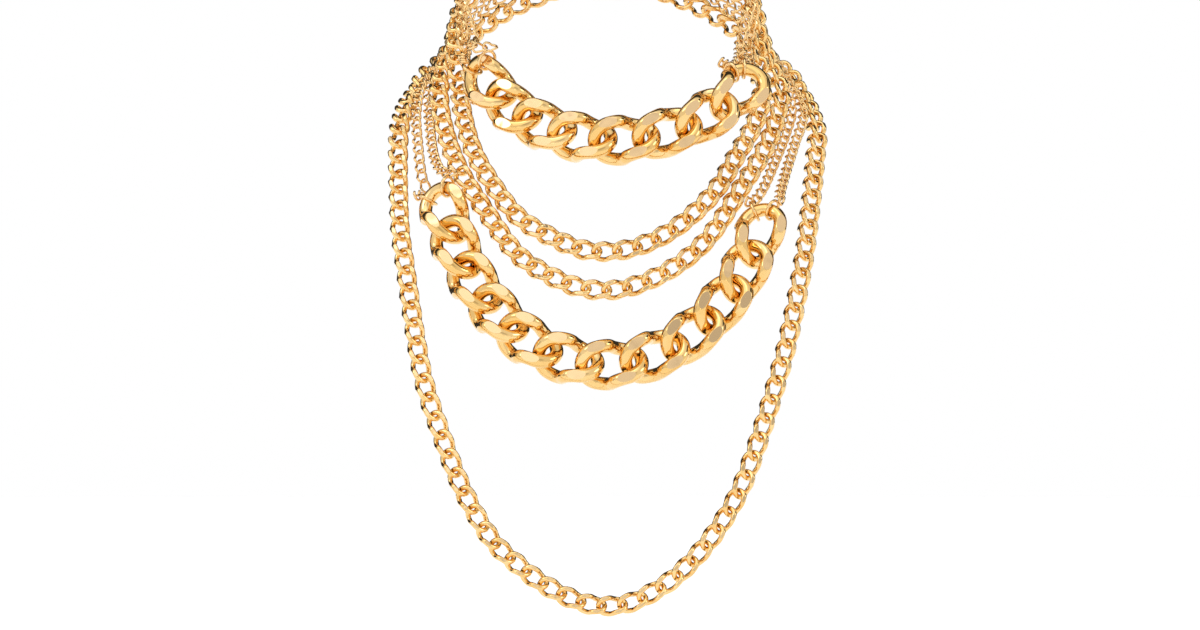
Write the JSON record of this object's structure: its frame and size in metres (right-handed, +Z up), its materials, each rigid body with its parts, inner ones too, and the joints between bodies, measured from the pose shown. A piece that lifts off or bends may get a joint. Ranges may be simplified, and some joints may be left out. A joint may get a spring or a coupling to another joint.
{
  "type": "multi strand necklace",
  "caption": "Layered necklace of curb chains in three sizes, with two rows of chunky links, all gathered on one clasp behind the neck.",
  "frame": {"origin": "middle of the clasp's inner face, which rests on the nape of the neck", "axes": "+Z up along the wearer's neck, -Y towards the wearer's chest side, +X towards the viewer's right"},
  "size_m": [0.1921, 0.1813, 0.3209],
  "materials": {
    "chunky_gold": "polished gold plate",
    "chain_gold": "polished gold plate",
    "fine_gold": "polished gold plate",
    "clasp_gold": "polished gold plate"
  },
  "bodies": {
    "root": {"choker_link_01": "chunky_gold", "choker_link_02": "chunky_gold", "choker_link_03": "chunky_gold", "choker_link_04": "chunky_gold", "choker_link_05": "chunky_gold", "choker_link_06": "chunky_gold", "choker_link_07": "chunky_gold", "choker_link_08": "chunky_gold", "bib_link_01": "chunky_gold", "bib_link_02": "chunky_gold", "bib_link_03": "chunky_gold", "bib_link_04": "chunky_gold", "bib_link_05": "chunky_gold", "bib_link_06": "chunky_gold", "bib_link_07": "chunky_gold", "bib_link_08": "chunky_gold", "bib_link_09": "chunky_gold", "bib_link_10": "chunky_gold", "bib_link_11": "chunky_gold", "bib_link_12": "chunky_gold", "inner_chain_left": "chain_gold", "inner_chain_right": "chain_gold", "middle_chain_left": "chain_gold", "middle_chain_right": "chain_gold", "long_chain_left": "chain_gold", "long_chain_right": "chain_gold", "choker_left_outer": "fine_gold", "choker_left_inner": "fine_gold", "choker_right_inner": "fine_gold", "choker_right_outer": "fine_gold", "bib_left_outer": "fine_gold", "bib_left_inner": "fine_gold", "bib_right_inner": "fine_gold", "bib_right_outer": "fine_gold", "choker_left_outer_ring": "fine_gold", "choker_left_inner_ring": "fine_gold", "choker_right_inner_ring": "fine_gold", "choker_right_outer_ring": "fine_gold", "bib_left_outer_ring": "fine_gold", "bib_left_inner_ring": "fine_gold", "bib_right_inner_ring": "fine_gold", "bib_right_outer_ring": "fine_gold", "clasp": "clasp_gold"}
  },
  "joints": []
}
